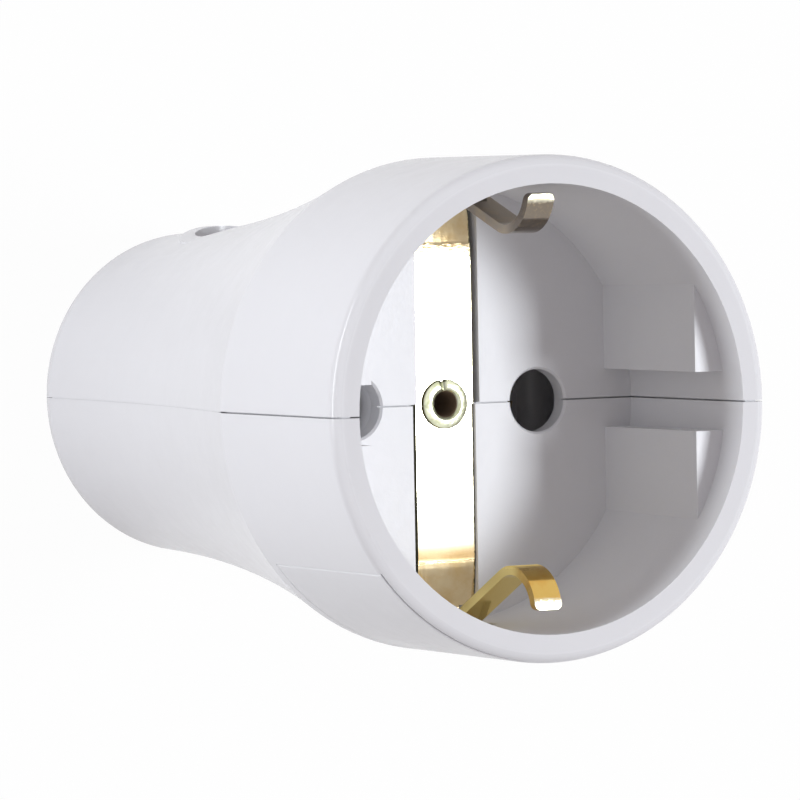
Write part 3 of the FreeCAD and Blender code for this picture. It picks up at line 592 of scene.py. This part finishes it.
class SocketMetalLooks(bpy.types.PropertyGroup):
    # Painted reflection and glint: this pale tone stands for the key lamp mirrored in the strip's middle
    # and glinting on the clips' ends.
    pale_reflection_color: bpy.props.FloatVectorProperty(
        name="Bright brass", description="Pale tone of the strip's polished middle and the clips' ends",
        default=(0.95, 0.90, 0.70), min=0.0, max=1.0, subtype="COLOR")
    # Painted reflection: this gold stands for the dark recess wall mirrored in the strip past its bends.
    brass_color: bpy.props.FloatVectorProperty(
        name="Brass colour", description="Gold of the strip's ends",
        default=(0.90, 0.74, 0.46), min=0.0, max=1.0, subtype="COLOR")
    worn_color: bpy.props.FloatVectorProperty(
        name="Worn brass", description="Deeper gold in the strip's faint stains",
        default=(0.80, 0.59, 0.30), min=0.0, max=1.0, subtype="COLOR")
    # Painted shade: the upper clip is darkened grey-brown, and its hook darker still, though it is the
    # same brass as the lower clip.
    upper_clip_shade: bpy.props.FloatVectorProperty(
        name="Upper clip", description="Grey-brown film on the clip beside the screw recess",
        default=(0.38, 0.335, 0.28), min=0.0, max=1.0, subtype="COLOR")
    upper_hook_shade: bpy.props.FloatVectorProperty(
        name="Upper hook", description="Darker film on the hooked end of that clip",
        default=(0.20, 0.17, 0.145), min=0.0, max=1.0, subtype="COLOR")
    # Painted reflection: the lower clip's gold tones stand for the strip's gold mirrored in it; the
    # amber stains are random.
    lower_arm_reflection: bpy.props.FloatVectorProperty(
        name="Lower arm", description="Light gold on the arm of the opposite clip",
        default=(0.96, 0.76, 0.27), min=0.0, max=1.0, subtype="COLOR")
    lower_hook_reflection: bpy.props.FloatVectorProperty(
        name="Lower hook", description="Deep gold film on the hooked end of the opposite clip",
        default=(0.66, 0.43, 0.11), min=0.0, max=1.0, subtype="COLOR")
    clip_amber: bpy.props.FloatVectorProperty(
        name="Lower hook stain", description="Orange stains on that hooked end",
        default=(0.62, 0.33, 0.06), min=0.0, max=1.0, subtype="COLOR")
    # Also used for the painted shadow under the eyelet's lip.
    dark_edge_and_shadow_color: bpy.props.FloatVectorProperty(
        name="Sheared edge", description="Dark olive of the strip's sheared long edges",
        default=(0.13, 0.125, 0.08), min=0.0, max=1.0, subtype="COLOR")
    eyelet_color: bpy.props.FloatVectorProperty(
        name="Eyelet colour", description="Pale tone of the rolled eyelet",
        default=(0.66, 0.67, 0.50), min=0.0, max=1.0, subtype="COLOR")
    eyelet_shade: bpy.props.FloatVectorProperty(
        name="Eyelet shade", description="Greener tone in the eyelet's stains",
        default=(0.47, 0.48, 0.30), min=0.0, max=1.0, subtype="COLOR")
    # Painted shade: this dark brown stands for the little light inside the deep bore.
    bore_shade_color: bpy.props.FloatVectorProperty(
        name="Bore colour", description="Dark brown inside the eyelet",
        default=(0.30, 0.22, 0.16), min=0.0, max=1.0, subtype="COLOR")
    brass_roughness: bpy.props.FloatProperty(
        name="Brass roughness", description="Roughness of the earth strip",
        default=0.09, min=0.0, max=1.0, subtype="FACTOR")
    eyelet_bore: bpy.props.FloatProperty(
        name="Eyelet bore", description="Radius of the hole through the eyelet",
        default=0.00112, min=0.0005, max=0.002, unit="LENGTH")
    eyelet_barrel: bpy.props.FloatProperty(
        name="Eyelet barrel", description="Radius of the eyelet where it passes through the strip",
        default=0.00175, min=0.001, max=0.0022, unit="LENGTH")
    rim_crown: bpy.props.FloatProperty(
        name="Eyelet crown", description="Height of the eyelet's rolled rim above the strip",
        default=0.00042, min=0.0001, max=0.001, unit="LENGTH")
    split_angle: bpy.props.FloatProperty(
        name="Split direction", description="Where the eyelet's rim has its small split",
        default=math.radians(97), min=0.0, max=2 * math.pi, subtype="ANGLE")


class SocketStageLooks(bpy.types.PropertyGroup):
    ambient: bpy.props.FloatProperty(
        name="Ambient", description="Strength of the even light from all round",
        default=0.35, min=0.0, max=2.0)
    key_power: bpy.props.FloatProperty(
        name="Key power", description="Power of the large lamp over the recess",
        default=2.3, min=0.0, max=50.0, unit="POWER")
    side_power: bpy.props.FloatProperty(
        name="Side power", description="Power of the low lamp that lights the outside",
        default=2.15, min=0.0, max=50.0, unit="POWER")
    lens: bpy.props.FloatProperty(
        name="Lens", description="Focal length of the camera in millimetres",
        default=360.0, min=20.0, max=1000.0)
    floor_size: bpy.props.FloatProperty(
        name="Floor size", description="Width of the white floor",
        default=12.0, min=1.0, max=50.0, unit="LENGTH")


class SOCKET_OT_housing(bpy.types.Operator):
    """Finishes both moulded halves and adds their seam webs, hole web and panel plate"""
    bl_idname = "socket.housing"
    bl_label = "Finish housing"

    def execute(self, context):
        looks = context.scene.socket_housing
        material = moulded_white(looks)
        for name in ("upper_housing", "lower_housing"):
            dress(name, material)
        depth, width = looks.seam_web_depth, looks.seam_web_width
        web = hole_web_points(
            -PIN_REACH, looks.hole_web_bore, looks.hole_web_outer, *HOLE_WEB_LEVELS)
        plate = panel_plate_points(looks.panel_half_angle, *PANEL_LEVELS, looks.panel_thickness)
        # Name, points, and whether the grid closes along u and along v
        pieces = (
            ("seam_web_left", seam_ribbon(-1, depth, width), False, False),
            ("seam_web_right", seam_ribbon(1, depth, width), False, False),
            ("left_hole_web", web, True, True),
            ("panel_plate", plate, False, True),
        )
        for name, points, close_u, close_v in pieces:
            piece = grid_mesh(name, points, close_u, close_v, material)
            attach(piece, BODY)
        return {"FINISHED"}


class SOCKET_OT_earth(bpy.types.Operator):
    """Finishes the earth bracket and sets its rolled eyelet"""
    bl_idname = "socket.earth"
    bl_label = "Finish earth bracket"

    def execute(self, context):
        looks = context.scene.socket_metal
        dress("earth_bracket", stamped_brass(looks))
        points = eyelet_points(
            looks.eyelet_bore, looks.eyelet_barrel, EYELET_HIGH.x, looks.rim_crown,
            EYELET_HIGH.z - EYELET_RIM, EYELET_LOW.z + EYELET_FOOT, looks.split_angle)
        piece = grid_mesh("rolled_eyelet", points, True, True, rolled_brass(looks))
        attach(piece, BODY)
        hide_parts("earth_eyelet")
        return {"FINISHED"}


class SOCKET_OT_contacts(bpy.types.Operator):
    """Finishes the sleeves, rings, terminals, leaves and screws"""
    bl_idname = "socket.contacts"
    bl_label = "Finish contacts and screws"

    def execute(self, context):
        for name, finish in METALS.items():
            material = turned_metal(name, *finish)
            for node_name in METAL_NODES[name]:
                dress(node_name, material)
        return {"FINISHED"}


class SOCKET_OT_clamp(bpy.types.Operator):
    """Finishes the cord clamp"""
    bl_idname = "socket.clamp"
    bl_label = "Finish cord clamp"

    def execute(self, context):
        dress("cord_clamp", matt_moulding(context.scene.socket_housing))
        return {"FINISHED"}


def mirrored(tree, path):
    """One for glossy and transmission rays, which show the background in metal and glass."""
    total = maths(tree, "ADD", path["Is Glossy Ray"], path["Is Transmission Ray"])
    return maths(tree, "MINIMUM", total, 1.0)


def white_world(strength):
    """Soft light from all round, and plain white where the background is seen or mirrored."""
    world = bpy.data.worlds.new("studio")
    bpy.context.scene.world = world
    world.use_nodes = True
    tree = world.node_tree
    tree.nodes.clear()
    path = add_node(tree, "ShaderNodeLightPath").outputs
    seen = maths(tree, "ADD", path["Is Camera Ray"], mirrored(tree, path))
    soft = add_node(tree, "ShaderNodeBackground", {"Color": AMBIENT_COLOR, "Strength": strength})
    white = add_node(tree, "ShaderNodeBackground", {"Color": WHITE, "Strength": 1.0})
    mixed = add_node(
        tree, "ShaderNodeMixShader",
        {0: seen, 1: soft.outputs["Background"], 2: white.outputs["Background"]})
    add_node(tree, "ShaderNodeOutputWorld", {"Surface": mixed.outputs["Shader"]})


def floor_material():
    """White ground that keeps a faint share of the shadow where it is seen."""
    material, tree, shader = new_material("studio_floor")
    dust = noise(tree, place_of(tree), 3.0, 2.0)
    paper = mix_node_colors(tree, dust, (0.80, 0.80, 0.80), (0.84, 0.84, 0.84))
    tree.links.new(paper, shader.inputs["Base Color"])
    shader.inputs["Roughness"].default_value = 0.9
    glow = add_node(tree, "ShaderNodeEmission", {"Color": WHITE, "Strength": 1.0})
    path = add_node(tree, "ShaderNodeLightPath").outputs
    seen = product(tree, path["Is Camera Ray"], FLOOR_SEEN)
    share = maths(tree, "ADD", seen, product(tree, mirrored(tree, path), FLOOR_MIRRORED))
    mixed = add_node(
        tree, "ShaderNodeMixShader", {0: share, 1: shader.outputs["BSDF"], 2: glow.outputs["Emission"]})
    output = next(node for node in tree.nodes if node.type == "OUTPUT_MATERIAL")
    tree.links.new(mixed.outputs["Shader"], output.inputs["Surface"])
    return material


def lamp(name, place, aim, size, power):
    """Soft rectangular lamp that faces the aim point and stays out of the camera's own view."""
    data = bpy.data.lights.new(name, "AREA")
    data.shape = "RECTANGLE"
    data.size, data.size_y = size
    data.energy = power
    data.color = LAMP_COLOR
    thing = bpy.data.objects.new(name, data)
    thing.location = place
    thing.rotation_euler = (aim - place).to_track_quat("-Z", "Y").to_euler()
    thing.visible_camera = False
    bpy.context.scene.collection.objects.link(thing)


def photo_camera(lens):
    """Camera at the photograph's angle: it looks down into the mouth, rolled so that the half with
    the screw recess is up."""
    mouth = Vector((0.0, 0.0, MOUTH_Z))
    eye = mouth + CAMERA_EYE
    target = mouth + CAMERA_TARGET
    back = (eye - target).normalized()
    right = CAMERA_UP.cross(back).normalized()
    up = back.cross(right)
    data = bpy.data.cameras.new("photo_camera")
    data.lens = lens
    data.sensor_width = 36.0
    data.clip_start = 0.01
    data.clip_end = 50.0
    camera = bpy.data.objects.new("photo_camera", data)
    turn = Matrix((right, up, back)).transposed().to_4x4()
    camera.matrix_world = Matrix.Translation(eye) @ turn
    bpy.context.scene.collection.objects.link(camera)
    bpy.context.scene.camera = camera


class SOCKET_OT_stage(bpy.types.Operator):
    """Builds the white floor, the soft lamps, the world and the camera"""
    bl_idname = "socket.stage"
    bl_label = "Set stage"

    def execute(self, context):
        looks = context.scene.socket_stage
        context.scene.view_settings.view_transform = "Standard"
        white_world(looks.ambient)
        half = looks.floor_size / 2
        corners = np.array([
            [[half, -half, 0.0], [half, half, 0.0]],
            [[-half, -half, 0.0], [-half, half, 0.0]],
        ])
        grid_mesh("floor", corners, False, False, floor_material())
        aim = Vector((0.0, 0.0, MOUTH_Z * LAMP_AIM))
        lamp("key_lamp", aim + LAMP_DISTANCE * KEY_WAY, aim, KEY_SIZE, looks.key_power)
        lamp("side_lamp", aim + LAMP_DISTANCE * SIDE_WAY, aim, SIDE_SIZE, looks.side_power)
        photo_camera(looks.lens)
        return {"FINISHED"}


class SOCKET_PT_panel(bpy.types.Panel):
    """Lists the operators and the sizes and colours that they use"""
    bl_idname = "SOCKET_PT_panel"
    bl_label = "Inline socket"
    bl_space_type = "VIEW_3D"
    bl_region_type = "UI"
    bl_category = "Socket"

    def draw(self, context):
        for group in GROUPS:
            looks = getattr(context.scene, group)
            for name in looks.__annotations__:
                self.layout.prop(looks, name)
        for operator in OPERATORS:
            self.layout.operator(operator.bl_idname)


GROUPS = {
    "socket_housing": SocketHousingLooks,
    "socket_metal": SocketMetalLooks,
    "socket_stage": SocketStageLooks,
}
OPERATORS = (
    SOCKET_OT_housing, SOCKET_OT_earth, SOCKET_OT_contacts, SOCKET_OT_clamp, SOCKET_OT_stage,
)


def register():
    for group in GROUPS.values():
        bpy.utils.register_class(group)
    for name, group in GROUPS.items():
        setattr(bpy.types.Scene, name, bpy.props.PointerProperty(type=group))
    for operator in OPERATORS:
        bpy.utils.register_class(operator)
    bpy.utils.register_class(SOCKET_PT_panel)


def unregister():
    bpy.utils.unregister_class(SOCKET_PT_panel)
    for operator in reversed(OPERATORS):
        bpy.utils.unregister_class(operator)
    for name in GROUPS:
        delattr(bpy.types.Scene, name)
    for group in reversed(list(GROUPS.values())):
        bpy.utils.unregister_class(group)


def main():
    register()
    bpy.ops.socket.housing()
    bpy.ops.socket.earth()
    bpy.ops.socket.contacts()
    bpy.ops.socket.clamp()
    bpy.ops.socket.stage()


if __name__ == "__main__":
    main()
